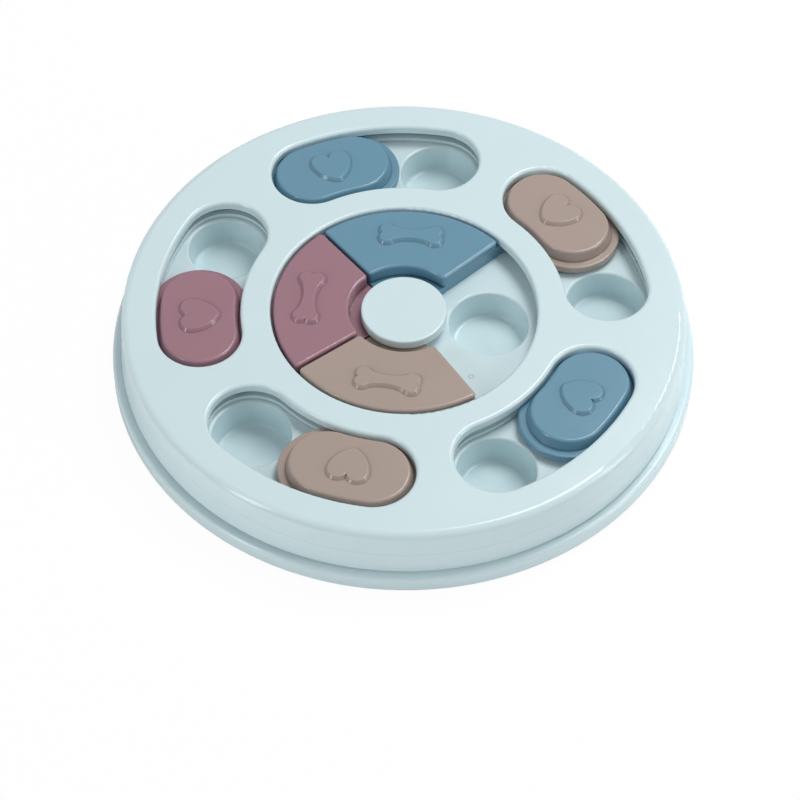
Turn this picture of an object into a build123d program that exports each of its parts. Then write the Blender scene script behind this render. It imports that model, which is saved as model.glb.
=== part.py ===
"""Round dog puzzle feeder: a tray of treat wells under a slotted cover, with five
sliders in the cover's curved windows and three wedges that turn about the hub.

Millimetres, +Z up. The origin is the centre of the circle that the feet stand on.
Angles are measured anticlockwise from +X, seen from above.
"""
import os
from math import asin, cos, degrees, radians, sin, tan

from build123d import *

# --- heights ---
FOOT_DROP = 1.5  # rubber feet below the tray's rim
FLANGE_HEIGHT = 6.8
DECK_HEIGHT = 19.3  # deck above the tray's rim
COVER_HEIGHT = 10.0  # cover's top above the deck
BASE_Z = FOOT_DROP
LEDGE_Z = BASE_Z + FLANGE_HEIGHT
DECK_Z = BASE_Z + DECK_HEIGHT
TOP_Z = DECK_Z + COVER_HEIGHT

# --- moulded walls and fits ---
WALL = 2.2
DECK_THICKNESS = 2.2
DECK_UNDER = DECK_Z - DECK_THICKNESS
FIT = 0.4  # gap round pieces that slide or drop in
SCREW_FIT = 0.05  # gap round a screw in its pilot hole

# --- tray ---
BASE_RADIUS = 122.5
FLANGE_REACH = 5.2  # flange's edge beyond the cover's top edge
FLANGE_ROUND = 1.6
SKIRT_DRAFT = 3.9  # degrees, shared by the cover's skirt and the upstand inside it

# --- cover ---
COVER_TOP_RADIUS = BASE_RADIUS - FLANGE_REACH
COVER_ROUND = 3.2
PLATE = 2.6
LIP_DEPTH = 4.0  # plate and lip together, round the windows and the opening
LIP_WIDTH = 2.4
PLATE_UNDER = TOP_Z - PLATE
LIP_UNDER = TOP_Z - LIP_DEPTH
COVER_BORDER = 14.11  # from the windows out to the cover's top edge
WINDOW_HALF_WIDTH = 17.52
WINDOW_ROUND = 1.6
TRACK_RADIUS = COVER_TOP_RADIUS - COVER_BORDER - WINDOW_HALF_WIDTH
BAND_WIDTH = 12.45  # between the opening and the windows
OPENING_RADIUS = TRACK_RADIUS - WINDOW_HALF_WIDTH - BAND_WIDTH
OPENING_ROUND = 1.3
REBATE_DEPTH = 0.7  # shadow line where the skirt meets the ledge
REBATE_HEIGHT = 1.1

# --- curved windows, sliders and the wells below them ---
SLOT_COUNT = 5
SLOT_PITCH = 360 / SLOT_COUNT
FIRST_SLOT_ANGLE = 99.31
TRACK_SPREAD = 18.85  # window's end centres either side of its middle, degrees
SLOTS = [FIRST_SLOT_ANGLE - SLOT_PITCH * slot for slot in range(SLOT_COUNT)]
MIDWAYS = [angle + SLOT_PITCH / 2 for angle in SLOTS]
RAIL_SETBACK = 0.78  # of the rail from the window's edge
RAIL_WIDTH = 2.6
RAIL_INNER = WINDOW_HALF_WIDTH + RAIL_SETBACK
RAIL_OUTER = RAIL_INNER + RAIL_WIDTH
RAIL_HEIGHT = 2.0
RAIL_Z = DECK_Z + RAIL_HEIGHT

# --- wells ---
WELL_DEPTH = 12.5
FLOOR_Z = DECK_Z - WELL_DEPTH
WELL_WALL = 1.8
WELL_SETBACK = 1.12  # of a well's mouth from its window's edge
OUTER_WELL_MOUTH = WINDOW_HALF_WIDTH - WELL_SETBACK
WELL_TAPER = 1.6  # floor radius is smaller than the mouth by this
WELL_LIP_ROUND = 1.0
WELL_FLOOR_ROUND = 1.6
CENTRAL_WELL_COUNT = 4
POST_RADIUS = 15.0
POST_MARGIN = 3.84  # of deck between the hub post and a central well
OPENING_MARGIN = 3.26  # of deck between a central well and the opening's edge
CENTRAL_WELL_MOUTH = (OPENING_RADIUS - OPENING_MARGIN - POST_RADIUS - POST_MARGIN) / 2
CENTRAL_WELL_RING = OPENING_RADIUS - OPENING_MARGIN - CENTRAL_WELL_MOUTH

# --- sliders ---
SLIDER_NAMES = ["slider_blue_1", "slider_taupe_1", "slider_blue_2", "slider_taupe_2", "slider_mauve"]
SLIDER_REST = 12.5  # from the window's middle, degrees
SLIDER_SPREAD = 6.2
SLIDER_DROP = 0.5  # of its top below the cover's
SLIDER_TOP_Z = TOP_Z - SLIDER_DROP
SLIDER_FLANGE_HEIGHT = 2.8
SLIDER_TUCK = 2.78  # how far its flange reaches under the cover
SLIDER_FLANGE_HALF_WIDTH = WINDOW_HALF_WIDTH + SLIDER_TUCK
SLIDER_FLANGE_ROUND = 0.9
SLIDER_GAP = 0.62  # between its body and the window's edge
SLIDER_BODY_HALF_WIDTH = WINDOW_HALF_WIDTH - SLIDER_GAP
SLIDER_TAPER_ANGLE = 19.0  # degrees
SLIDER_EDGE_ROUND = 1.2
SLIDER_SHELL = 3.8

# --- raised ornaments ---
HEART_RELIEF = 1.5
BONE_RELIEF = 1.6
RELIEF_SLOPE_ANGLE = 35.0  # of their sides, degrees from upright
RELIEF_ROUND = 0.5
HEART_LOBE_RADIUS = 4.15
HEART_LOBE_REACH = 2.75  # of the lobes' centres back from the heart's middle
HEART_LOBE_SIDE = 3.95  # of the lobes' centres off the heart's own axis
HEART_LEAN_ANGLE = 5.0  # of the sides where they leave the lobes, degrees
HEART_TIP_REACH = 8.75
HEART_TIP_ROUND = 2.5
BONE_LENGTH = 26.0
BONE_END_WIDTH = 10.0
BONE_KNOB_RADIUS = 2.8
BONE_SHAFT_WIDTH = 4.3
BONE_WAIST_RADIUS = 20.0
BONE_FLARE = 1.5
BONE_OFFSET = 1.25  # outwards from the middle of a wedge's width

# --- hub and wedges ---
POST_HEIGHT = 4.8
POST_Z = DECK_Z + POST_HEIGHT
CAP_OVERHANG = 2.9  # beyond the hub post
CAP_RADIUS = POST_RADIUS + CAP_OVERHANG
CAP_ROUND = 0.8
CAP_DROP = 1.1  # of its top below the cover's
CAP_Z = TOP_Z - CAP_DROP
STEM_RADIUS = 5.0
STEM_LENGTH = 9.8
STEM_SOCKET_FIT = 0.2
TUBE_WALL = 2.3
WEDGE_NAMES = ["wedge_blue", "wedge_mauve", "wedge_taupe"]
WEDGE_PITCH_ANGLE = 87.15
FIRST_WEDGE_ANGLE = 86.4
WEDGE_DROP = 0.3  # of their tops below the cover's
WEDGE_TOP_Z = TOP_Z - WEDGE_DROP
WEDGE_END_GAP = 0.45  # from the sector's radial line to the end wall's foot
WEDGE_DRAFT = 1.0  # degrees
WEDGE_SETBACK = 5.2  # of their inner walls from the hub cap
WEDGE_INNER_RADIUS = CAP_RADIUS + WEDGE_SETBACK
WEDGE_GAP = 1.3  # between their outer walls and the opening's edge
WEDGE_OUTER_RADIUS = OPENING_RADIUS - WEDGE_GAP
WEDGE_MIDLINE = (WEDGE_INNER_RADIUS + WEDGE_OUTER_RADIUS) / 2
WEDGE_EDGE_ROUND = 1.2
WEDGE_CORNER_ROUND = 1.8
COLLAR_HEIGHT = 3.8
RIM_TUCK = 1.9  # how far a wedge's rim reaches under the cover's lip
RIM_HEIGHT = 5.4
WEDGE_SHELL = 2.2

# --- screws and feet ---
SCREW_SHANK_RADIUS = 1.45
SCREW_HEAD_RADIUS = 2.9
SCREW_HEAD_HEIGHT = 2.0
SCREW_LENGTH = 8.0
SCREW_BORDER = 12.3  # from the outer screws out to the cover's top edge
SCREW_MARGIN = 6.8  # from the opening's edge out to the inner screws
SCREW_RINGS = [COVER_TOP_RADIUS - SCREW_BORDER, OPENING_RADIUS + SCREW_MARGIN]
BOSS_RADIUS = 3.8
TUBE_RADIUS = 5.2
TUBE_LENGTH = 12.0
HUB_SCREW_LENGTH = 9.0
FOOT_SETBACK = 22.5  # of the feet's middles from the flange's edge
FOOT_RING = BASE_RADIUS - FOOT_SETBACK
FOOT_RADIUS = 7.2
FOOT_THICKNESS = 2.5
FOOT_ROUND = 0.8
SPIGOT_RADIUS = 4.8
SPIGOT_LENGTH = 5.0
LEG_RADIUS = 7.2
RIB_THICKNESS = 1.8
RIB_DEPTH = LIP_DEPTH - PLATE


def polar(radius, angle):
    """A point at a radius and an angle about the axis."""
    return (radius * cos(radians(angle)), radius * sin(radians(angle)))


def turned(radius, angle):
    """A place at a radius and an angle, turned to face outwards."""
    return Location((*polar(radius, angle), 0), (0, 0, angle))


def skirt_radius(height):
    """Outer radius of the cover's sloping skirt at a height."""
    return COVER_TOP_RADIUS + (TOP_Z - height) * tan(radians(SKIRT_DRAFT))


def upstand_radius(height):
    """Outer radius of the tray's upstand, which fits inside the skirt."""
    return skirt_radius(height) - WALL - FIT


def circles(part, radius, height):
    """The part's circular edges of one radius at one height."""
    return part.edges().filter_by(
        lambda edge: edge.geom_type == GeomType.CIRCLE
        and abs(edge.radius - radius) < 0.01
        and abs(edge.center().Z - height) < 0.01
    )


def track(middle, spread):
    """The arc that a window or a slider follows, about one angle."""
    return CenterArc((0, 0), TRACK_RADIUS, middle - spread, 2 * spread)


# --- ornament outlines, drawn once about the origin ---
NOTCH_ANGLE = degrees(asin(HEART_LOBE_SIDE / HEART_LOBE_RADIUS))
LOBE_CENTRE = (HEART_LOBE_REACH, HEART_LOBE_SIDE)

with BuildSketch() as heart_outline:  # points along -X
    with BuildLine():
        lobe = CenterArc(LOBE_CENTRE, HEART_LOBE_RADIUS, -NOTCH_ANGLE, NOTCH_ANGLE + 90 + HEART_LEAN_ANGLE)
        TangentArc(lobe @ 1, (-HEART_TIP_REACH, 0), tangent=lobe % 1)
        mirror(about=Plane.XZ)
    make_face()
    fillet(heart_outline.vertices().sort_by(Axis.X)[0], HEART_TIP_ROUND)

KNOB_X = BONE_END_WIDTH / 2 - BONE_KNOB_RADIUS
KNOB_Y = BONE_LENGTH / 2 - BONE_KNOB_RADIUS
WAIST_X = BONE_SHAFT_WIDTH / 2 + BONE_WAIST_RADIUS

with BuildSketch() as bone_outline:  # lies along Y
    Rectangle(BONE_END_WIDTH - BONE_KNOB_RADIUS / 2, 2 * KNOB_Y)
    with Locations((-WAIST_X, 0), (WAIST_X, 0)):
        Circle(BONE_WAIST_RADIUS, mode=Mode.SUBTRACT)
    with Locations(*[(x, y) for x in (-KNOB_X, KNOB_X) for y in (-KNOB_Y, KNOB_Y)]):
        Circle(BONE_KNOB_RADIUS)
    fillet(bone_outline.vertices().filter_by(lambda corner: abs(corner.Y) < KNOB_Y - 0.01), BONE_FLARE)


# --- tray: one moulding with the wells, rails, hub post, screw tubes and legs ---
OUTER_WELLS = [polar(TRACK_RADIUS, slot + side * TRACK_SPREAD) for slot in SLOTS for side in (-1, 1)]
CENTRAL_WELLS = [
    polar(CENTRAL_WELL_RING, 360 / CENTRAL_WELL_COUNT * well) for well in range(CENTRAL_WELL_COUNT)
]
SCREW_PLACES = [(ring, angle) for ring in SCREW_RINGS for angle in MIDWAYS]
STEM_END_Z = POST_Z - STEM_LENGTH
WEB_UNDER = STEM_END_Z - WALL

with BuildPart() as bottom_tray:
    with BuildSketch(Plane.XZ):
        with BuildLine():
            Polyline(
                (0, DECK_Z),
                (upstand_radius(DECK_Z), DECK_Z),
                (upstand_radius(LEDGE_Z), LEDGE_Z),
                (BASE_RADIUS, LEDGE_Z),
                (BASE_RADIUS, BASE_Z),
                (BASE_RADIUS - WALL, BASE_Z),
                (BASE_RADIUS - WALL, LEDGE_Z - WALL),
                (upstand_radius(LEDGE_Z) - WALL, LEDGE_Z - WALL),
                (upstand_radius(DECK_Z) - WALL, DECK_UNDER),
                (0, DECK_UNDER),
                close=True,
            )
        make_face()
    revolve(axis=Axis.Z)
    fillet(circles(bottom_tray, BASE_RADIUS, LEDGE_Z), FLANGE_ROUND)

    # cups under the deck, then their tapered hollows
    for places, mouth in ((OUTER_WELLS, OUTER_WELL_MOUTH), (CENTRAL_WELLS, CENTRAL_WELL_MOUTH)):
        floor = mouth - WELL_TAPER
        cup_height = DECK_UNDER - FLOOR_Z + WELL_WALL
        with Locations(*[(x, y, FLOOR_Z - WELL_WALL) for x, y in places]):
            Cone(
                floor + WELL_WALL,
                mouth + WELL_WALL,
                cup_height,
                align=(Align.CENTER, Align.CENTER, Align.MIN),
            )
        with Locations(*[(x, y, FLOOR_Z) for x, y in places]):
            Cone(
                floor,
                mouth,
                WELL_DEPTH,
                align=(Align.CENTER, Align.CENTER, Align.MIN),
                mode=Mode.SUBTRACT,
            )
        fillet(circles(bottom_tray, mouth, DECK_Z), WELL_LIP_ROUND)
        fillet(circles(bottom_tray, floor, FLOOR_Z), WELL_FLOOR_ROUND)

    # a raised rail round each pair of wells carries a slider
    with BuildSketch(Plane.XY.offset(DECK_Z)):
        for angle in SLOTS:
            SlotArc(track(angle, TRACK_SPREAD), 2 * RAIL_OUTER)
            SlotArc(track(angle, TRACK_SPREAD), 2 * RAIL_INNER, mode=Mode.SUBTRACT)
    extrude(amount=RAIL_HEIGHT)

    # hub post, hollow from below round the tube that takes the cap's stem
    with BuildSketch(Plane.XY.offset(DECK_Z)):
        Circle(POST_RADIUS)
    extrude(amount=POST_HEIGHT)
    with BuildSketch(Plane.XY.offset(DECK_UNDER)):
        Circle(POST_RADIUS - WALL)
    extrude(amount=POST_HEIGHT, mode=Mode.SUBTRACT)
    tube_bottom = WEB_UNDER - SCREW_HEAD_HEIGHT - WALL
    with BuildSketch(Plane.XY.offset(tube_bottom)):
        Circle(STEM_RADIUS + STEM_SOCKET_FIT + TUBE_WALL)
    extrude(amount=POST_Z - WALL - tube_bottom)
    with BuildSketch(Plane.XY.offset(STEM_END_Z)):
        Circle(STEM_RADIUS + STEM_SOCKET_FIT)
    extrude(amount=POST_Z - STEM_END_Z, mode=Mode.SUBTRACT)
    with BuildSketch(Plane.XY.offset(tube_bottom)):
        Circle(STEM_RADIUS)
    extrude(amount=WEB_UNDER - tube_bottom, mode=Mode.SUBTRACT)
    with BuildSketch(Plane.XY.offset(WEB_UNDER)):
        Circle(SCREW_SHANK_RADIUS + FIT)
    extrude(amount=WALL, mode=Mode.SUBTRACT)

    # tubes that lead each cover screw up to the deck
    with BuildSketch(Plane.XY.offset(DECK_UNDER - TUBE_LENGTH)):
        with Locations(*[polar(ring, angle) for ring, angle in SCREW_PLACES]):
            Circle(TUBE_RADIUS)
    extrude(amount=TUBE_LENGTH)
    with BuildSketch(Plane.XY.offset(DECK_UNDER - TUBE_LENGTH)):
        with Locations(*[polar(ring, angle) for ring, angle in SCREW_PLACES]):
            Circle(SCREW_HEAD_RADIUS + FIT)
    extrude(amount=TUBE_LENGTH, mode=Mode.SUBTRACT)
    with BuildSketch(Plane.XY.offset(DECK_UNDER)):
        with Locations(*[polar(ring, angle) for ring, angle in SCREW_PLACES]):
            Circle(SCREW_SHANK_RADIUS + FIT)
    extrude(amount=DECK_THICKNESS, mode=Mode.SUBTRACT)

    # legs that hold the rubber feet
    with BuildSketch(Plane.XY.offset(FOOT_THICKNESS)):
        with Locations(*[polar(FOOT_RING, angle) for angle in SLOTS]):
            Circle(LEG_RADIUS)
            Circle(SPIGOT_RADIUS + SCREW_FIT, mode=Mode.SUBTRACT)
    extrude(amount=DECK_UNDER - FOOT_THICKNESS)

# --- cover: sloping skirt, plate, lipped windows and screw bosses ---
with BuildPart() as top_cover:
    with BuildSketch(Plane.XZ):
        with BuildLine():
            Polyline(
                (0, TOP_Z),
                (COVER_TOP_RADIUS, TOP_Z),
                (skirt_radius(LEDGE_Z + REBATE_HEIGHT), LEDGE_Z + REBATE_HEIGHT),
                (skirt_radius(LEDGE_Z + REBATE_HEIGHT) - REBATE_DEPTH, LEDGE_Z + REBATE_HEIGHT),
                (skirt_radius(LEDGE_Z) - REBATE_DEPTH, LEDGE_Z),
                (skirt_radius(LEDGE_Z) - WALL, LEDGE_Z),
                (skirt_radius(PLATE_UNDER) - WALL, PLATE_UNDER),
                (0, PLATE_UNDER),
                close=True,
            )
        make_face()
    revolve(axis=Axis.Z)
    fillet(circles(top_cover, COVER_TOP_RADIUS, TOP_Z), COVER_ROUND)

    # lips hang below the plate, and the windows and the opening are cut through them
    with BuildSketch(Plane.XY.offset(LIP_UNDER)):
        Circle(OPENING_RADIUS + LIP_WIDTH)
        for angle in SLOTS:
            SlotArc(track(angle, TRACK_SPREAD), 2 * (WINDOW_HALF_WIDTH + LIP_WIDTH))
    extrude(amount=LIP_DEPTH - PLATE / 2)
    with BuildSketch(Plane.XY.offset(LIP_UNDER)):
        for angle in SLOTS:
            SlotArc(track(angle, TRACK_SPREAD), 2 * WINDOW_HALF_WIDTH)
    extrude(amount=LIP_DEPTH, mode=Mode.SUBTRACT)
    window_edges = top_cover.edges().filter_by_position(Axis.Z, TOP_Z - 0.01, TOP_Z + 0.01)
    fillet(window_edges.filter_by(lambda edge: edge.radius < COVER_TOP_RADIUS - COVER_ROUND), WINDOW_ROUND)
    with BuildSketch(Plane.XY.offset(LIP_UNDER)):
        Circle(OPENING_RADIUS)
    extrude(amount=LIP_DEPTH, mode=Mode.SUBTRACT)
    fillet(circles(top_cover, OPENING_RADIUS, TOP_Z), OPENING_ROUND)

    # radial ribs under the plate, with a boss for a screw at each end
    rib_start = OPENING_RADIUS + LIP_WIDTH / 2
    rib_end = skirt_radius(PLATE_UNDER) - WALL / 2
    for angle in MIDWAYS:
        with BuildSketch(Plane.XY.offset(PLATE_UNDER - RIB_DEPTH)):
            with Locations(turned((rib_start + rib_end) / 2, angle)):
                Rectangle(rib_end - rib_start, RIB_THICKNESS)
        extrude(amount=RIB_DEPTH)
    with BuildSketch(Plane.XY.offset(DECK_Z)):
        with Locations(*[polar(ring, angle) for ring, angle in SCREW_PLACES]):
            Circle(BOSS_RADIUS)
    extrude(amount=PLATE_UNDER - DECK_Z)
    with BuildSketch(Plane.XY.offset(DECK_Z)):
        with Locations(*[polar(ring, angle) for ring, angle in SCREW_PLACES]):
            Circle(SCREW_SHANK_RADIUS + SCREW_FIT)
    extrude(amount=SCREW_LENGTH - DECK_THICKNESS + FIT, mode=Mode.SUBTRACT)

# --- hub cap: a shallow dished disc on a stem, which keeps the wedges' collars down ---
with BuildPart() as hub_cap:
    with BuildSketch(Plane.XY.offset(POST_Z)):
        Circle(CAP_RADIUS)
    extrude(amount=CAP_Z - POST_Z)
    fillet(circles(hub_cap, CAP_RADIUS, CAP_Z), CAP_ROUND)
    with BuildSketch(Plane.XY.offset(POST_Z)):
        Circle(CAP_RADIUS - WALL)
        Circle(POST_RADIUS - WALL, mode=Mode.SUBTRACT)
    extrude(amount=CAP_Z - POST_Z - WALL, mode=Mode.SUBTRACT)
    with BuildSketch(Plane.XY.offset(STEM_END_Z)):
        Circle(STEM_RADIUS)
    extrude(amount=STEM_LENGTH)
    with BuildSketch(Plane.XY.offset(STEM_END_Z)):
        Circle(SCREW_SHANK_RADIUS + SCREW_FIT)
    extrude(amount=HUB_SCREW_LENGTH - WALL + FIT, mode=Mode.SUBTRACT)


def make_screw(name, place, seat, length):
    """A pan-headed screw, pointing up, with its head hung below a seat."""
    with BuildPart() as screw:
        with BuildSketch(Plane.XY.offset(seat - SCREW_HEAD_HEIGHT)):
            with Locations(place):
                Circle(SCREW_HEAD_RADIUS)
        extrude(amount=SCREW_HEAD_HEIGHT)
        fillet(circles(screw, SCREW_HEAD_RADIUS, seat - SCREW_HEAD_HEIGHT), SCREW_HEAD_HEIGHT / 2)
        with BuildSketch(Plane.XY.offset(seat)):
            with Locations(place):
                Circle(SCREW_SHANK_RADIUS)
        extrude(amount=length)
    screw.part.label = name
    return screw.part


def make_foot(name, place):
    """A rubber foot: a round pad with a spigot pushed up into its leg."""
    with BuildPart() as foot:
        with BuildSketch():
            with Locations(place):
                Circle(FOOT_RADIUS)
        extrude(amount=FOOT_THICKNESS)
        fillet(circles(foot, FOOT_RADIUS, 0), FOOT_ROUND)
        with BuildSketch(Plane.XY.offset(FOOT_THICKNESS)):
            with Locations(place):
                Circle(SPIGOT_RADIUS)
        extrude(amount=SPIGOT_LENGTH)
    foot.part.label = name
    return foot.part


def make_slider(name, middle):
    """A flanged, hollow slider about one angle of the track, with a raised heart."""
    flange_z = RAIL_Z + SLIDER_FLANGE_HEIGHT
    with BuildPart() as slider:
        with BuildSketch(Plane.XY.offset(RAIL_Z)):
            SlotArc(track(middle, SLIDER_SPREAD), 2 * SLIDER_FLANGE_HALF_WIDTH)
        extrude(amount=SLIDER_FLANGE_HEIGHT)
        fillet(slider.faces().sort_by(Axis.Z)[-1].edges(), SLIDER_FLANGE_ROUND)
        with BuildSketch(Plane.XY.offset(flange_z)):
            SlotArc(track(middle, SLIDER_SPREAD), 2 * SLIDER_BODY_HALF_WIDTH)
        extrude(amount=SLIDER_TOP_Z - flange_z, taper=SLIDER_TAPER_ANGLE)
        fillet(slider.faces().sort_by(Axis.Z)[-1].edges(), SLIDER_EDGE_ROUND)
        with BuildSketch(Plane.XY.offset(RAIL_Z)):
            SlotArc(track(middle, SLIDER_SPREAD), 2 * (SLIDER_BODY_HALF_WIDTH - SLIDER_SHELL))
        extrude(amount=SLIDER_TOP_Z - WALL - RAIL_Z, mode=Mode.SUBTRACT)
        with BuildSketch(Plane.XY.offset(SLIDER_TOP_Z + HEART_RELIEF)):
            with Locations(turned(TRACK_RADIUS, middle)):
                add(heart_outline.sketch)
        extrude(amount=-HEART_RELIEF, taper=-RELIEF_SLOPE_ANGLE)
        fillet(slider.faces().sort_by(Axis.Z)[-1].edges(), RELIEF_ROUND)
    slider.part.label = name
    return slider.part


def sector(middle, inner, outer, inset):
    """Fill a sketch with a ring sector whose straight ends stand clear of its radial lines."""
    Circle(outer)
    Circle(inner, mode=Mode.SUBTRACT)
    for side in (-1, 1):
        with Locations(Location((0, 0, 0), (0, 0, middle + side * WEDGE_PITCH_ANGLE / 2))):
            with Locations((0, side * (outer - inset))):
                Rectangle(3 * outer, 2 * outer, mode=Mode.SUBTRACT)


def make_wedge(name, middle):
    """A hollow wedge that turns about the hub post, with a raised bone."""
    rise = WEDGE_TOP_Z - DECK_Z
    flare = rise * tan(radians(WEDGE_DRAFT))
    collar = POST_RADIUS + FIT
    rim = OPENING_RADIUS + RIM_TUCK
    skin = WEDGE_END_GAP + WEDGE_SHELL
    with BuildPart() as wedge:
        # body, collar and rim share one draft, so each end is one plane from top to bottom
        with BuildSketch(Plane.XY.offset(DECK_Z)) as footprint:
            sector(middle, WEDGE_INNER_RADIUS - flare, WEDGE_OUTER_RADIUS + flare, WEDGE_END_GAP)
            fillet(footprint.vertices(), WEDGE_CORNER_ROUND)
        extrude(amount=rise, taper=WEDGE_DRAFT)
        fillet(wedge.faces().sort_by(Axis.Z)[-1].edges(), WEDGE_EDGE_ROUND)
        spans = ((collar, WEDGE_MIDLINE, COLLAR_HEIGHT), (WEDGE_MIDLINE, rim, RIM_HEIGHT))
        for inner, outer, height in spans:
            with BuildSketch(Plane.XY.offset(DECK_Z)):
                sector(middle, inner, outer, WEDGE_END_GAP)
            extrude(amount=height, taper=WEDGE_DRAFT)
        # hollow underside: shallow below the collar and the rim, deep below the body
        with BuildSketch(Plane.XY.offset(DECK_Z)):
            sector(middle, collar + WEDGE_SHELL, rim - WEDGE_SHELL, skin)
        extrude(amount=COLLAR_HEIGHT - WEDGE_SHELL, mode=Mode.SUBTRACT)
        with BuildSketch(Plane.XY.offset(DECK_Z)):
            sector(middle, WEDGE_INNER_RADIUS + WEDGE_SHELL, WEDGE_OUTER_RADIUS - WEDGE_SHELL, skin)
        extrude(amount=rise - WEDGE_SHELL, mode=Mode.SUBTRACT)
        with BuildSketch(Plane.XY.offset(WEDGE_TOP_Z + BONE_RELIEF)):
            with Locations(turned(WEDGE_MIDLINE + BONE_OFFSET, middle)):
                add(bone_outline.sketch)
        extrude(amount=-BONE_RELIEF, taper=-RELIEF_SLOPE_ANGLE)
        fillet(wedge.faces().sort_by(Axis.Z)[-1].edges(), RELIEF_ROUND)
    wedge.part.label = name
    return wedge.part


bottom_tray.part.label = "bottom_tray"
top_cover.part.label = "top_cover"
hub_cap.part.label = "hub_cap"
pieces = [bottom_tray.part, top_cover.part, hub_cap.part]
pieces += [make_slider(name, slot + SLIDER_REST) for name, slot in zip(SLIDER_NAMES, SLOTS)]
pieces += [
    make_wedge(name, FIRST_WEDGE_ANGLE + WEDGE_PITCH_ANGLE * turn)
    for turn, name in enumerate(WEDGE_NAMES)
]
pieces += [
    make_screw(f"cover_screw_{number}", polar(ring, angle), DECK_UNDER, SCREW_LENGTH)
    for number, (ring, angle) in enumerate(SCREW_PLACES, start=1)
]
pieces.append(make_screw("hub_screw", (0, 0), WEB_UNDER, HUB_SCREW_LENGTH))
pieces += [
    make_foot(f"foot_{number}", polar(FOOT_RING, angle)) for number, angle in enumerate(SLOTS, start=1)
]

os.makedirs("parts", exist_ok=True)
for piece in pieces:
    export_step(piece, f"parts/{piece.label}.step")
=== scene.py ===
"""Dresses the round dog puzzle feeder: finishes its plastic mouldings, makes the
cross-recessed screws and the grooved rubber feet, and sets a plain studio.
Metres, in the frame of the solids: the origin is under the middle, on the floor.
"""

from math import cos, pi, radians, sin

import bmesh
import bpy
from mathutils import Matrix, Vector


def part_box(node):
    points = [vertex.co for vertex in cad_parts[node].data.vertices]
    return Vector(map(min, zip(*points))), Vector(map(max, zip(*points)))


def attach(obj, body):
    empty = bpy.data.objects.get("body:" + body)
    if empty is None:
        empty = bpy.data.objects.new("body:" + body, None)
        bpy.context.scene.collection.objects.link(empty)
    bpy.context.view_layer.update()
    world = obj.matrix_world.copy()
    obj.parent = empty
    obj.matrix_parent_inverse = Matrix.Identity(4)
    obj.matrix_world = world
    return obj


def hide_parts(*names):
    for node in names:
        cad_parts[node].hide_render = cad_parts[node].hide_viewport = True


bl_info = {
    "name": "Puzzle Feeder Finish",
    "version": (1, 0, 0),
    "blender": (4, 5, 0),
    "location": "View3D > Sidebar > Feeder",
    "description": "Finishes and stages a round dog puzzle feeder",
    "category": "Object",
}

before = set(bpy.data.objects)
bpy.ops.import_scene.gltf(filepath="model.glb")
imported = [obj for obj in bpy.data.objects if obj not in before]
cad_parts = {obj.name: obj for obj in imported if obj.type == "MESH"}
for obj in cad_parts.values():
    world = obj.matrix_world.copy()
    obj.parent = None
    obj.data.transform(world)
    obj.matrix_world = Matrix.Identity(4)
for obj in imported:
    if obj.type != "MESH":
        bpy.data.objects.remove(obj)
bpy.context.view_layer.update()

SHELL_NODES = ("bottom_tray", "top_cover", "hub_cap")
SLIDER_NODES = (
    "slider_blue_1",
    "slider_taupe_1",
    "slider_blue_2",
    "slider_taupe_2",
    "slider_mauve",
)
WEDGE_NODES = ("wedge_blue", "wedge_mauve", "wedge_taupe")
COVER_SCREW_NODES = tuple(f"cover_screw_{number}" for number in range(1, 11))
HUB_SCREW_NODES = ("hub_screw",)
FOOT_NODES = tuple(f"foot_{number}" for number in range(1, 6))


# --- reading the solids ---
def node_box(node):
    """Lowest and highest corner of a solid."""
    low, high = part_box(node)
    return Vector(low), Vector(high)


def node_middle(node):
    """The middle of a solid's box."""
    low, high = node_box(node)
    return (low + high) / 2


def node_radius(node):
    """The radius of a round solid."""
    low, high = node_box(node)
    return (high.x - low.x) / 2


DECK_HEIGHT = node_box("wedge_mauve")[0].z
COVER_TOP = node_box("top_cover")[1].z
GATE_PLACE = (0.0283, -0.0284, DECK_HEIGHT)

# The mould parts this far below the cover's top, on what lies beyond this radius.
PARTING_DROP = 0.0117
PARTING_INSIDE = 0.117

# The screws' heads and the feet's pads, as the solids have them. A shank's radius is
# a share of the head's, and a spigot's is a share of the pad's.
HEAD_DEPTH = 0.002
SHANK_SHARE = 1 / 2
PAD_DEPTH = 0.0025
SPIGOT_SHARE = 2 / 3

# The flat ring outside a foot's groove, as a share of the pad's radius.
GROOVE_INSET = 0.28

# Flat faces round each of these.
HEAD_SIDES = 40
SHANK_SIDES = 24
PAD_SIDES = 64
SPIGOT_SIDES = 48

# A level face that looks down has a normal whose z is under this.
LEVEL_DOWN = -0.999

# Where the lamps stand, width and height of the square one and of the two tall
# ones, and the floor's side.
KEY_PLACE = (0.408, 0.454, 1.148)
LEFT_PLACE = (-0.877, -0.685, 0.450)
RIGHT_PLACE = (1.050, -0.281, 0.507)
SOFTBOX = (0.55, 0.55)
STRIP = (0.22, 0.90)
FLOOR_SIDE = 6.0


# --- settings a user would change ---
def length(name, description, default):
    """A length setting in metres."""
    return bpy.props.FloatProperty(
        name=name, description=description, default=default, min=0.0, precision=5, unit="LENGTH"
    )


def colour(name, description, default):
    """A linear colour setting."""
    return bpy.props.FloatVectorProperty(
        name=name,
        description=description,
        default=default,
        size=3,
        min=0.0,
        max=1.0,
        subtype="COLOR",
    )


def power(name, description, default):
    """A lamp's power in watts."""
    return bpy.props.FloatProperty(
        name=name, description=description, default=default, min=0.0, unit="POWER"
    )


def angle(name, description, degrees):
    """An angle setting, given in degrees."""
    return bpy.props.FloatProperty(
        name=name, description=description, default=radians(degrees), subtype="ANGLE"
    )


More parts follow.
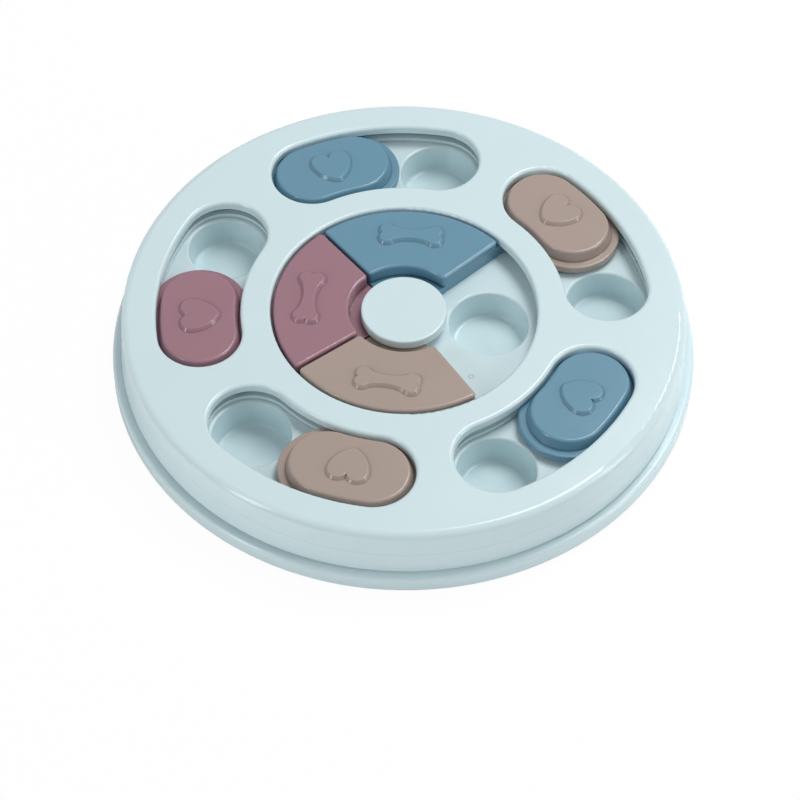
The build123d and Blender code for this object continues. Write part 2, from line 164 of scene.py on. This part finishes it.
class FeederSizes(bpy.types.PropertyGroup):
    """Sizes of the pieces made here"""

    recess_width: length("Recess width", "Width of each slot of a screw's cross recess", 0.0009)
    recess_length: length("Recess length", "Length of each slot of a screw's cross recess", 0.0034)
    recess_depth: length("Recess depth", "Depth of a screw's cross recess", 0.0011)
    head_round: length("Head rounding", "Rounding of a screw head's rim", 0.0009)
    groove_width: length("Groove width", "Width of the ring groove under a foot", 0.0010)
    groove_depth: length("Groove depth", "Depth of the ring groove under a foot", 0.0006)
    foot_round: length("Foot rounding", "Rounding of a foot's lower rim", 0.0007)
    mark_radius: length("Mark radius", "Radius of the gate's ring on the deck", 0.0010)
    mark_height: length("Mark height", "Height of the gate's ring on the deck", 0.00025)


class FeederColours(bpy.types.PropertyGroup):
    """Colours of the plastics, the rubber and the floor"""

    shell: colour("Shell", "Pale blue of the tray, cover and hub cap", (0.647, 0.799, 0.835))
    blue: colour("Blue", "Grey-blue of two sliders and a wedge", (0.130, 0.287, 0.393))
    mauve: colour("Mauve", "Mauve of a slider and a wedge", (0.334, 0.175, 0.219))
    taupe: colour("Taupe", "Taupe of two sliders and a wedge", (0.396, 0.313, 0.272))
    rubber: colour("Rubber", "Grey of the rubber feet", (0.240, 0.270, 0.290))
    floor: colour("Floor", "Pale floor and backdrop", (1.0, 1.0, 1.0))


class FeederStage(bpy.types.PropertyGroup):
    """Light and view"""

    sky: bpy.props.FloatProperty(
        name="Sky", description="Strength of the even light all round", default=0.38, min=0.0
    )
    key: power("Key", "Power of the high soft lamp at the back right", 9.0)
    left: power("Left strip", "Power of the tall lamp at the front left", 4.2)
    right: power("Right strip", "Power of the tall lamp at the right", 3.3)
    haze: bpy.props.FloatProperty(
        name="Haze",
        description="How far the floor's shadow fades to white",
        default=0.96,
        min=0.0,
        max=1.0,
        subtype="FACTOR",
    )
    lens: bpy.props.FloatProperty(
        name="Lens", description="Focal length", default=130.7, min=1.0, unit="CAMERA"
    )
    distance: length("Distance", "Camera to its aim point", 1.178)
    tilt: angle("Tilt", "How far the camera looks down", 51.74)
    roll: angle("Roll", "Camera's turn about its own line of sight", 0.79)
    aim: bpy.props.FloatVectorProperty(
        name="Aim",
        description="Point in the middle of the frame",
        default=(-0.00114, -0.04919, COVER_TOP),
        unit="LENGTH",
    )


# --- small helpers on objects ---
def deselect():
    """Leaves nothing selected."""
    bpy.ops.object.select_all(action="DESELECT")


def pick(obj):
    """Makes one object the only selected and active one."""
    deselect()
    obj.select_set(True)
    bpy.context.view_layer.objects.active = obj


def settle(obj):
    """Moves an object's place into its mesh."""
    pick(obj)
    bpy.ops.object.transform_apply(location=True, rotation=True, scale=True)


def cylinder(name, node, radius, depth, height, sides):
    """A cylinder on a solid's upright axis, with its middle at a height."""
    middle = node_middle(node)
    deselect()
    bpy.ops.mesh.primitive_cylinder_add(
        vertices=sides, radius=radius, depth=depth, location=(middle.x, middle.y, height)
    )
    obj = bpy.context.active_object
    obj.name = name
    settle(obj)
    return obj


def lower_disc(node, depth, sides):
    """A disc as wide as a round solid, at its lower end."""
    height = node_box(node)[0].z + depth / 2
    return cylinder(f"{node}_finished", node, node_radius(node), depth, height, sides)


def add_stem(disc, node, disc_depth, share, sides):
    """Joins to a disc the thinner stem that runs on to the solid's upper end."""
    low, high = node_box(node)
    depth = high.z - low.z - disc_depth
    radius = node_radius(node) * share
    stem = cylinder(f"{node}_stem", node, radius, depth, high.z - depth / 2, sides)
    pick(disc)
    stem.select_set(True)
    bpy.ops.object.join()


def select_faces(obj, wanted):
    """Selects, in edit mode, the faces that a test on centre and normal accepts."""
    bpy.ops.mesh.select_all(action="DESELECT")
    bpy.ops.mesh.select_mode(type="FACE")
    mesh = bmesh.from_edit_mesh(obj.data)
    for face in mesh.faces:
        face.select_set(wanted(face.calc_center_median(), face.normal))
    bmesh.update_edit_mesh(obj.data)


def round_lower_rim(obj, radius):
    """Rounds, in edit mode, the rim of the face that looks down."""
    select_faces(obj, lambda centre, normal: normal.z < LEVEL_DOWN)
    bpy.ops.mesh.bevel(offset=radius, segments=4, profile=0.5, affect="EDGES")


def cut(obj, tool):
    """Cuts one solid out of another and deletes the tool."""
    pick(obj)
    boolean = obj.modifiers.new("cut", "BOOLEAN")
    boolean.operation = "DIFFERENCE"
    boolean.solver = "EXACT"
    boolean.object = tool
    bpy.ops.object.modifier_apply(modifier=boolean.name)
    bpy.data.objects.remove(tool, do_unlink=True)


def copy_for(node, piece, piece_node):
    """A copy of one solid's piece for an equal solid: its own mesh, moved in the mesh."""
    twin = piece.copy()
    twin.data = piece.data.copy()
    twin.name = f"{node}_finished"
    bpy.context.collection.objects.link(twin)
    twin.data.transform(Matrix.Translation(node_middle(node) - node_middle(piece_node)))
    return twin


def smooth(obj, sharp_over=35.0):
    """Smooth shading, with edges that turn by more than some degrees kept sharp."""
    pick(obj)
    bpy.ops.object.shade_smooth_by_angle(angle=radians(sharp_over))


def dress(obj, material):
    """Gives a piece one material."""
    obj.data.materials.clear()
    obj.data.materials.append(material)


# --- shader node groups ---
def group_tree(name, inputs, outputs):
    """An empty shader group with named sockets, and its input and output nodes."""
    tree = bpy.data.node_groups.new(name, "ShaderNodeTree")
    for label, kind, default in inputs:
        socket = tree.interface.new_socket(name=label, in_out="INPUT", socket_type=kind)
        if default is not None:
            socket.default_value = default
    for label, kind in outputs:
        tree.interface.new_socket(name=label, in_out="OUTPUT", socket_type=kind)
    return tree, tree.nodes.new("NodeGroupInput"), tree.nodes.new("NodeGroupOutput")


def math_node(tree, operation, first, second=None, clamp=False):
    """A Math node fed by sockets or numbers."""
    node = tree.nodes.new("ShaderNodeMath")
    node.operation = operation
    node.use_clamp = clamp
    for socket, value in zip(node.inputs, (first, second)):
        if value is None:
            continue
        if isinstance(value, (int, float)):
            socket.default_value = value
        else:
            tree.links.new(value, socket)
    return node.outputs[0]


def noise_node(tree, vector, scale, detail=3.0, roughness=0.55):
    """A Noise texture's value."""
    node = tree.nodes.new("ShaderNodeTexNoise")
    node.inputs["Detail"].default_value = detail
    node.inputs["Roughness"].default_value = roughness
    tree.links.new(vector, node.inputs["Vector"])
    if isinstance(scale, (int, float)):
        node.inputs["Scale"].default_value = scale
    else:
        tree.links.new(scale, node.inputs["Scale"])
    return node.outputs["Fac"]


def range_node(tree, value, low, high, out_low=0.0, out_high=1.0):
    """A Map Range node, clamped."""
    node = tree.nodes.new("ShaderNodeMapRange")
    tree.links.new(value, node.inputs["Value"])
    node.inputs["From Min"].default_value = low
    node.inputs["From Max"].default_value = high
    node.inputs["To Min"].default_value = out_low
    node.inputs["To Max"].default_value = out_high
    return node.outputs["Result"]


def scaled_colour(tree, colour_socket, level_socket):
    """A colour times a level."""
    node = tree.nodes.new("ShaderNodeVectorMath")
    node.operation = "SCALE"
    tree.links.new(colour_socket, node.inputs[0])
    tree.links.new(level_socket, node.inputs["Scale"])
    return node.outputs[0]


def line_mask(tree, distance, half_width):
    """A mask that is 1 where a distance is 0 and fades to 0 at the half width."""
    share = math_node(tree, "DIVIDE", math_node(tree, "ABSOLUTE", distance), half_width)
    return math_node(tree, "SUBTRACT", 1.0, share, clamp=True)


def moulded_tone_group():
    """Slight unevenness of a moulded plastic's colour and gloss, with sparse specks."""
    tree, given, made = group_tree(
        "Moulded Tone",
        (
            ("Vector", "NodeSocketVector", None),
            ("Colour", "NodeSocketColor", (0.5, 0.5, 0.5, 1.0)),
            ("Mottle", "NodeSocketFloat", 0.03),
            ("Specks", "NodeSocketFloat", 0.10),
            ("Roughness", "NodeSocketFloat", 0.40),
        ),
        (("Colour", "NodeSocketColor"), ("Roughness", "NodeSocketFloat")),
    )
    cloud_scale = 55.0
    grit_scale = 420.0
    grit_core, grit_rim = 0.05, 0.16
    rarity_scale = 260.0
    rare_from, rare_full = 0.66, 0.72
    drift_scale = 30.0
    drift_range = 0.035
    vector = given.outputs["Vector"]
    cloud = noise_node(tree, vector, cloud_scale, detail=2.0)
    uneven = math_node(tree, "SUBTRACT", cloud, 0.5)
    lift = math_node(tree, "MULTIPLY", uneven, given.outputs["Mottle"])
    grit = tree.nodes.new("ShaderNodeTexVoronoi")
    grit.inputs["Scale"].default_value = grit_scale
    tree.links.new(vector, grit.inputs["Vector"])
    near = range_node(tree, grit.outputs["Distance"], grit_core, grit_rim, 1.0, 0.0)
    rarity = noise_node(tree, vector, rarity_scale, detail=1.0)
    rare = range_node(tree, rarity, rare_from, rare_full)
    speck = math_node(tree, "MULTIPLY", near, rare)
    speck = math_node(tree, "MULTIPLY", speck, given.outputs["Specks"])
    level = math_node(tree, "SUBTRACT", math_node(tree, "ADD", lift, 1.0), speck)
    tree.links.new(scaled_colour(tree, given.outputs["Colour"], level), made.inputs["Colour"])
    gloss = noise_node(tree, vector, drift_scale)
    drift = range_node(tree, gloss, 0.3, 0.7, -drift_range, drift_range)
    roughness = math_node(tree, "ADD", given.outputs["Roughness"], drift, clamp=True)
    tree.links.new(roughness, made.inputs["Roughness"])
    return tree


def moulded_grain_group():
    """The faint orange-peel and fine spark grain of a moulded face, as a normal."""
    tree, given, made = group_tree(
        "Moulded Grain",
        (
            ("Vector", "NodeSocketVector", None),
            ("Peel", "NodeSocketFloat", 0.10),
            ("Grain", "NodeSocketFloat", 0.06),
            ("Grain Scale", "NodeSocketFloat", 2600.0),
        ),
        (("Normal", "NodeSocketVector"),),
    )
    peel_scale = 160.0
    peel_height = 0.0004
    grain_height = 0.00006
    vector = given.outputs["Vector"]
    peel = tree.nodes.new("ShaderNodeBump")
    peel.inputs["Distance"].default_value = peel_height
    tree.links.new(noise_node(tree, vector, peel_scale, detail=2.0), peel.inputs["Height"])
    tree.links.new(given.outputs["Peel"], peel.inputs["Strength"])
    grain = tree.nodes.new("ShaderNodeBump")
    grain.inputs["Distance"].default_value = grain_height
    sparks = noise_node(tree, vector, given.outputs["Grain Scale"], detail=2.0)
    tree.links.new(sparks, grain.inputs["Height"])
    tree.links.new(given.outputs["Grain"], grain.inputs["Strength"])
    tree.links.new(peel.outputs["Normal"], grain.inputs["Normal"])
    tree.links.new(grain.outputs["Normal"], made.inputs["Normal"])
    return tree


def painted_highlight_and_shade_group():
    """Painted highlight on edges and painted shade in creases, as a factor on the colour."""
    tree, given, made = group_tree(
        "Painted Highlight And Crease Shade",
        (
            ("Edge Reach", "NodeSocketFloat", 0.0005),
            ("Edge", "NodeSocketFloat", 0.5),
            ("Crease Reach", "NodeSocketFloat", 0.0010),
            ("Crease", "NodeSocketFloat", 1.0),
        ),
        (("Level", "NodeSocketFloat"),),
    )
    # The painted crease shade leaves at least this share of the colour.
    darkest_painted_shade = 0.3
    shares = []
    # Inward probes lighten convex edges as painted highlight; outward probes darken creases as
    # painted shade.
    for label, inside in (("Edge", True), ("Crease", False)):
        probe = tree.nodes.new("ShaderNodeAmbientOcclusion")
        probe.inside = inside
        probe.only_local = True
        probe.samples = 8
        tree.links.new(given.outputs[f"{label} Reach"], probe.inputs["Distance"])
        mask = math_node(tree, "SUBTRACT", 1.0, probe.outputs["AO"], clamp=True)
        shares.append(math_node(tree, "MULTIPLY", mask, given.outputs[label]))
    level = math_node(tree, "SUBTRACT", math_node(tree, "ADD", shares[0], 1.0), shares[1])
    tree.links.new(math_node(tree, "MAXIMUM", level, darkest_painted_shade), made.inputs["Level"])
    return tree


def parting_line_group():
    """A mask that is 1 on a thin level line round the skirt, and 0 elsewhere."""
    tree, given, made = group_tree(
        "Parting Line",
        (
            ("Vector", "NodeSocketVector", None),
            ("Height", "NodeSocketFloat", 0.02),
            ("Half Width", "NodeSocketFloat", 0.0003),
        ),
        (("Mask", "NodeSocketFloat"),),
    )
    split = tree.nodes.new("ShaderNodeSeparateXYZ")
    tree.links.new(given.outputs["Vector"], split.inputs[0])
    above = math_node(tree, "SUBTRACT", split.outputs["Z"], given.outputs["Height"])
    line = line_mask(tree, above, given.outputs["Half Width"])
    x_square, y_square = (
        math_node(tree, "MULTIPLY", split.outputs[axis], split.outputs[axis]) for axis in "XY"
    )
    radius_square = math_node(tree, "ADD", x_square, y_square)
    outside = math_node(tree, "GREATER_THAN", radius_square, PARTING_INSIDE**2)
    tree.links.new(math_node(tree, "MULTIPLY", line, outside), made.inputs["Mask"])
    return tree


def gate_mark_group():
    """A mask that is 1 on the ring that a gate leaves on a face, and 0 elsewhere."""
    tree, given, made = group_tree(
        "Gate Mark",
        (
            ("Vector", "NodeSocketVector", None),
            ("Place", "NodeSocketVector", (0.0, 0.0, 0.0)),
            ("Radius", "NodeSocketFloat", 0.0010),
            ("Half Width", "NodeSocketFloat", 0.0004),
        ),
        (("Mask", "NodeSocketFloat"),),
    )
    apart = tree.nodes.new("ShaderNodeVectorMath")
    apart.operation = "DISTANCE"
    tree.links.new(given.outputs["Vector"], apart.inputs[0])
    tree.links.new(given.outputs["Place"], apart.inputs[1])
    beyond = math_node(tree, "SUBTRACT", apart.outputs["Value"], given.outputs["Radius"])
    ring = line_mask(tree, beyond, given.outputs["Half Width"])
    tree.links.new(ring, made.inputs["Mask"])
    return tree


GROUP_MAKERS = {
    "Moulded Tone": moulded_tone_group,
    "Moulded Grain": moulded_grain_group,
    "Painted Highlight And Crease Shade": painted_highlight_and_shade_group,
    "Parting Line": parting_line_group,
    "Gate Mark": gate_mark_group,
}


def group_node(tree, name, **values):
    """A node of a shader group, which is made on its first use; underscores stand for spaces."""
    node = tree.nodes.new("ShaderNodeGroup")
    node.node_tree = bpy.data.node_groups.get(name) or GROUP_MAKERS[name]()
    for label, value in values.items():
        node.inputs[label.replace("_", " ")].default_value = value
    return node


# --- materials ---
def bare_material(name):
    """A material with only a Principled shader, and its tree, shader and coordinates."""
    material = bpy.data.materials.new(name)
    material.use_nodes = True
    tree = material.node_tree
    tree.nodes.clear()
    shader = tree.nodes.new("ShaderNodeBsdfPrincipled")
    out = tree.nodes.new("ShaderNodeOutputMaterial")
    tree.links.new(shader.outputs[0], out.inputs["Surface"])
    place = tree.nodes.new("ShaderNodeTexCoord").outputs["Object"]
    return material, tree, shader, place


def moulded_plastic(name, tint, specks, painted_edge_highlight, painted_crease_shade, sizes=None):
    """Satin moulded polypropylene; with sizes, the parting line and the gate's mark too."""
    satin = 0.20
    polypropylene_ior = 1.49
    line_depth = 0.12
    material, tree, shader, place = bare_material(name)
    tone = group_node(tree, "Moulded Tone", Colour=(*tint, 1.0), Roughness=satin, Specks=specks)
    tree.links.new(place, tone.inputs["Vector"])
    grain = group_node(tree, "Moulded Grain")
    tree.links.new(place, grain.inputs["Vector"])
    # Painted highlight on edges and painted shade in creases, as a factor on the colour.
    level = group_node(tree, "Painted Highlight And Crease Shade", Edge=painted_edge_highlight, Crease=painted_crease_shade).outputs["Level"]
    normal = grain.outputs["Normal"]
    if sizes:
        line = group_node(tree, "Parting Line", Height=COVER_TOP - PARTING_DROP)
        tree.links.new(place, line.inputs["Vector"])
        shade = math_node(tree, "MULTIPLY", line.outputs["Mask"], line_depth)
        level = math_node(tree, "SUBTRACT", level, shade)
        mark = group_node(tree, "Gate Mark", Place=GATE_PLACE, Radius=sizes.mark_radius)
        tree.links.new(place, mark.inputs["Vector"])
        raised = tree.nodes.new("ShaderNodeBump")
        raised.inputs["Distance"].default_value = sizes.mark_height
        tree.links.new(mark.outputs["Mask"], raised.inputs["Height"])
        tree.links.new(normal, raised.inputs["Normal"])
        normal = raised.outputs["Normal"]
    # The colour times the painted edge highlight and crease shade, less the parting line.
    base = scaled_colour(tree, tone.outputs["Colour"], level)
    tree.links.new(base, shader.inputs["Base Color"])
    tree.links.new(tone.outputs["Roughness"], shader.inputs["Roughness"])
    tree.links.new(normal, shader.inputs["Normal"])
    shader.inputs["IOR"].default_value = polypropylene_ior
    return material


def zinc_plate(name):
    """Bright zinc on a small steel screw."""
    crystal_scale = 900.0
    dark_zinc = (0.42, 0.43, 0.44, 1.0)
    bright_zinc = (0.70, 0.71, 0.70, 1.0)
    glossy, dull = 0.24, 0.40
    material, tree, shader, place = bare_material(name)
    crystals = noise_node(tree, place, crystal_scale, detail=4.0)
    tint = tree.nodes.new("ShaderNodeValToRGB")
    tint.color_ramp.elements[0].color = dark_zinc
    tint.color_ramp.elements[1].color = bright_zinc
    tree.links.new(crystals, tint.inputs["Fac"])
    tree.links.new(tint.outputs["Color"], shader.inputs["Base Color"])
    tree.links.new(range_node(tree, crystals, 0.3, 0.7, glossy, dull), shader.inputs["Roughness"])
    shader.inputs["Metallic"].default_value = 1.0
    return material


def foot_rubber(name, tint):
    """Matt moulded rubber with a little dust."""
    dust_scale = 420.0
    dust_from, dust_full = 0.45, 0.75
    dust_lightness = 1.5
    dust_cover = 0.5
    clean_roughness, dusty_roughness = 0.72, 0.88
    material, tree, shader, place = bare_material(name)
    patches = noise_node(tree, place, dust_scale, detail=5.0)
    dust = range_node(tree, patches, dust_from, dust_full)
    mix = tree.nodes.new("ShaderNodeMix")
    mix.data_type = "RGBA"
    mix.inputs["A"].default_value = (*tint, 1.0)
    mix.inputs["B"].default_value = (*[min(1.0, value * dust_lightness) for value in tint], 1.0)
    tree.links.new(math_node(tree, "MULTIPLY", dust, dust_cover), mix.inputs["Factor"])
    tree.links.new(mix.outputs["Result"], shader.inputs["Base Color"])
    roughness = range_node(tree, dust, 0.0, 1.0, clean_roughness, dusty_roughness)
    tree.links.new(roughness, shader.inputs["Roughness"])
    grain = group_node(tree, "Moulded Grain", Grain=0.25, Grain_Scale=1800.0)
    tree.links.new(place, grain.inputs["Vector"])
    tree.links.new(grain.outputs["Normal"], shader.inputs["Normal"])
    return material


def studio_floor(name, tint, haze):
    """A pale floor that fades to plain white for the camera, with the object's shadow left in."""
    material, tree, shader, _ = bare_material(name)
    shader.inputs["Base Color"].default_value = (*tint, 1.0)
    shader.inputs["Roughness"].default_value = 0.9
    shader.inputs["Specular IOR Level"].default_value = 0.0
    white = tree.nodes.new("ShaderNodeEmission")
    path = tree.nodes.new("ShaderNodeLightPath")
    mix = tree.nodes.new("ShaderNodeMixShader")
    out = tree.nodes["Material Output"]
    share = math_node(tree, "MULTIPLY", path.outputs["Is Camera Ray"], haze)
    tree.links.new(share, mix.inputs["Fac"])
    tree.links.new(shader.outputs[0], mix.inputs[1])
    tree.links.new(white.outputs[0], mix.inputs[2])
    tree.links.new(mix.outputs[0], out.inputs["Surface"])
    return material


# --- operators ---
class FEEDER_OT_shell(bpy.types.Operator):
    """Finish the tray, the cover and the hub cap in pale blue plastic"""

    bl_idname = "feeder.shell"
    bl_label = "Shell"

    def execute(self, context):
        scene = context.scene
        plastic = moulded_plastic(
            "moulded_shell",
            scene.feeder_colours.shell,
            specks=0.03,
            # Faint painted highlight on the shell's edges and painted shade in its creases.
            painted_edge_highlight=0.15,
            painted_crease_shade=0.6,
            sizes=scene.feeder_sizes,
        )
        for node in SHELL_NODES:
            dress(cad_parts[node], plastic)
        return {"FINISHED"}


def finish_coloured(context, nodes):
    """Gives sliders or wedges the plastic that their names say."""
    tints = context.scene.feeder_colours
    for node in nodes:
        hue = node.split("_")[1]
        name = f"moulded_{hue}"
        plastic = bpy.data.materials.get(name) or moulded_plastic(
            # Stronger painted highlight on edges and painted shade in creases for the coloured
            # pieces.
            name, getattr(tints, hue), specks=0.16, painted_edge_highlight=0.5, painted_crease_shade=1.3
        )
        dress(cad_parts[node], plastic)


class FEEDER_OT_sliders(bpy.types.Operator):
    """Finish the five sliders in their colours"""

    bl_idname = "feeder.sliders"
    bl_label = "Sliders"

    def execute(self, context):
        finish_coloured(context, SLIDER_NODES)
        return {"FINISHED"}


class FEEDER_OT_wedges(bpy.types.Operator):
    """Finish the three wedges in their colours"""

    bl_idname = "feeder.wedges"
    bl_label = "Wedges"

    def execute(self, context):
        finish_coloured(context, WEDGE_NODES)
        return {"FINISHED"}


class FEEDER_OT_screws(bpy.types.Operator):
    """Make the cross-recessed screws in place of the plain ones"""

    bl_idname = "feeder.screws"
    bl_label = "Screws"

    def execute(self, context):
        sizes = context.scene.feeder_sizes
        zinc = zinc_plate("zinc_plate")
        for nodes in (COVER_SCREW_NODES, HUB_SCREW_NODES):
            first = self.make(nodes[0], sizes)
            copies = [copy_for(node, first, nodes[0]) for node in nodes[1:]]
            for node, screw in zip(nodes, (first, *copies)):
                dress(screw, zinc)
                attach(screw, "feeder")
                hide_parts(node)
        return {"FINISHED"}

    def make(self, node, sizes):
        """One screw: a rounded head with a cross recess, and its shank."""
        middle = node_middle(node)
        lowest = node_box(node)[0].z
        screw = lower_disc(node, HEAD_DEPTH, HEAD_SIDES)
        bpy.ops.object.mode_set(mode="EDIT")
        round_lower_rim(screw, sizes.head_round)
        bpy.ops.mesh.select_all(action="DESELECT")
        bpy.ops.object.mode_set(mode="OBJECT")
        for turn in (0.0, pi / 2):
            deselect()
            bpy.ops.mesh.primitive_cube_add(
                size=1.0, location=(middle.x, middle.y, lowest), rotation=(0, 0, turn)
            )
            slot = bpy.context.active_object
            slot.scale = (sizes.recess_length, sizes.recess_width, 2 * sizes.recess_depth)
            settle(slot)
            cut(screw, slot)
        add_stem(screw, node, HEAD_DEPTH, SHANK_SHARE, SHANK_SIDES)
        smooth(screw)
        return screw


class FEEDER_OT_feet(bpy.types.Operator):
    """Make the rubber feet with a ring groove underneath"""

    bl_idname = "feeder.feet"
    bl_label = "Feet"

    def execute(self, context):
        sizes = context.scene.feeder_sizes
        rubber = foot_rubber("dusty_rubber", context.scene.feeder_colours.rubber)
        first = self.make(FOOT_NODES[0], sizes)
        for node in FOOT_NODES:
            foot = first if node == FOOT_NODES[0] else copy_for(node, first, FOOT_NODES[0])
            dress(foot, rubber)
            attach(foot, "feeder")
            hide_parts(node)
        return {"FINISHED"}

    def make(self, node, sizes):
        """One foot: a grooved pad with a rounded lower rim and its spigot."""
        middle = node_middle(node)
        radius = node_radius(node)
        inset = radius * GROOVE_INSET
        foot = lower_disc(node, PAD_DEPTH, PAD_SIDES)
        bpy.ops.object.mode_set(mode="EDIT")
        round_lower_rim(foot, sizes.foot_round)
        select_faces(foot, lambda centre, normal: normal.z < LEVEL_DOWN)
        bpy.ops.mesh.inset(thickness=inset)
        bpy.ops.mesh.inset(thickness=sizes.groove_width)
        ring = radius - sizes.foot_round - inset - sizes.groove_width / 2
        just_over_half = sizes.groove_width * 0.6
        select_faces(
            foot,
            lambda centre, normal: normal.z < LEVEL_DOWN
            and abs((centre - middle).xy.length - ring) < just_over_half,
        )
        bpy.ops.mesh.extrude_region_move(
            TRANSFORM_OT_translate={"value": (0, 0, sizes.groove_depth)}
        )
        bpy.ops.mesh.select_all(action="DESELECT")
        bpy.ops.object.mode_set(mode="OBJECT")
        add_stem(foot, node, PAD_DEPTH, SPIGOT_SHARE, SPIGOT_SIDES)
        smooth(foot)
        return foot


class FEEDER_OT_stage(bpy.types.Operator):
    """Set the floor, the soft light and the camera"""

    bl_idname = "feeder.stage"
    bl_label = "Stage"

    def execute(self, context):
        stage = context.scene.feeder_stage
        deselect()
        bpy.ops.mesh.primitive_plane_add(size=FLOOR_SIDE, location=(0, 0, 0))
        floor = bpy.context.active_object
        floor.name = "studio_floor"
        dress(floor, studio_floor("studio_floor", context.scene.feeder_colours.floor, stage.haze))
        self.sky(context.scene, stage.sky)
        self.lamp("key", KEY_PLACE, stage.key, SOFTBOX)
        self.lamp("left_strip", LEFT_PLACE, stage.left, STRIP)
        self.lamp("right_strip", RIGHT_PLACE, stage.right, STRIP)
        self.camera(context.scene, stage)
        context.scene.view_settings.view_transform = "Standard"
        return {"FINISHED"}

    def sky(self, scene, strength):
        """Even light all round, seen as white by the camera and in gloss."""
        world = bpy.data.worlds.new("studio_sky")
        scene.world = world
        world.use_nodes = True
        tree = world.node_tree
        tree.nodes.clear()
        out = tree.nodes.new("ShaderNodeOutputWorld")
        soft = tree.nodes.new("ShaderNodeBackground")
        soft.inputs["Strength"].default_value = strength
        white = tree.nodes.new("ShaderNodeBackground")
        path = tree.nodes.new("ShaderNodeLightPath")
        seen = path.outputs["Is Camera Ray"]
        for ray in ("Is Glossy Ray", "Is Transmission Ray"):
            seen = math_node(tree, "MAXIMUM", seen, path.outputs[ray])
        mix = tree.nodes.new("ShaderNodeMixShader")
        tree.links.new(seen, mix.inputs["Fac"])
        tree.links.new(soft.outputs[0], mix.inputs[1])
        tree.links.new(white.outputs[0], mix.inputs[2])
        tree.links.new(mix.outputs[0], out.inputs["Surface"])

    def lamp(self, name, place, watts, sides):
        """An area lamp of a width and a height that faces the object."""
        light = bpy.data.lights.new(name, "AREA")
        light.energy = watts
        light.shape = "RECTANGLE"
        light.size, light.size_y = sides
        lamp = bpy.data.objects.new(name, light)
        bpy.context.collection.objects.link(lamp)
        lamp.location = place
        lamp.rotation_euler = (-Vector(place)).to_track_quat("-Z", "Y").to_euler()

    def camera(self, scene, stage):
        """The camera, from its aim point, distance, tilt and roll."""
        data = bpy.data.cameras.new("camera")
        data.lens = stage.lens
        data.sensor_width = 36.0
        back = Vector((0, -cos(stage.tilt), sin(stage.tilt)))
        right = Vector((1, 0, 0))
        up = back.cross(right)
        across = cos(stage.roll) * right + sin(stage.roll) * up
        rise = -sin(stage.roll) * right + cos(stage.roll) * up
        turn = Matrix((across, rise, back)).transposed().to_4x4()
        camera = bpy.data.objects.new("camera", data)
        bpy.context.collection.objects.link(camera)
        camera.matrix_world = Matrix.Translation(Vector(stage.aim) + stage.distance * back) @ turn
        scene.camera = camera


class FEEDER_PT_panel(bpy.types.Panel):
    """The feeder's settings and steps"""

    bl_label = "Puzzle Feeder"
    bl_idname = "FEEDER_PT_panel"
    bl_space_type = "VIEW_3D"
    bl_region_type = "UI"
    bl_category = "Feeder"

    def draw(self, context):
        for settings in ("feeder_sizes", "feeder_colours", "feeder_stage"):
            owner = getattr(context.scene, settings)
            box = self.layout.box()
            for setting in owner.__annotations__:
                box.prop(owner, setting)
        for operator in OPERATORS:
            self.layout.operator(operator.bl_idname)


OPERATORS = (
    FEEDER_OT_shell,
    FEEDER_OT_sliders,
    FEEDER_OT_wedges,
    FEEDER_OT_screws,
    FEEDER_OT_feet,
    FEEDER_OT_stage,
)
SETTINGS = (FeederSizes, FeederColours, FeederStage)


def register():
    """Makes the settings, operators and panel known to Blender."""
    for cls in (*SETTINGS, *OPERATORS, FEEDER_PT_panel):
        bpy.utils.register_class(cls)
    bpy.types.Scene.feeder_sizes = bpy.props.PointerProperty(type=FeederSizes)
    bpy.types.Scene.feeder_colours = bpy.props.PointerProperty(type=FeederColours)
    bpy.types.Scene.feeder_stage = bpy.props.PointerProperty(type=FeederStage)


def unregister():
    """Takes them out again."""
    del bpy.types.Scene.feeder_stage
    del bpy.types.Scene.feeder_colours
    del bpy.types.Scene.feeder_sizes
    for cls in reversed((*SETTINGS, *OPERATORS, FEEDER_PT_panel)):
        bpy.utils.unregister_class(cls)


def main():
    """Runs each step in order."""
    register()
    bpy.ops.feeder.shell()
    bpy.ops.feeder.sliders()
    bpy.ops.feeder.wedges()
    bpy.ops.feeder.screws()
    bpy.ops.feeder.feet()
    bpy.ops.feeder.stage()


if __name__ == "__main__":
    main()
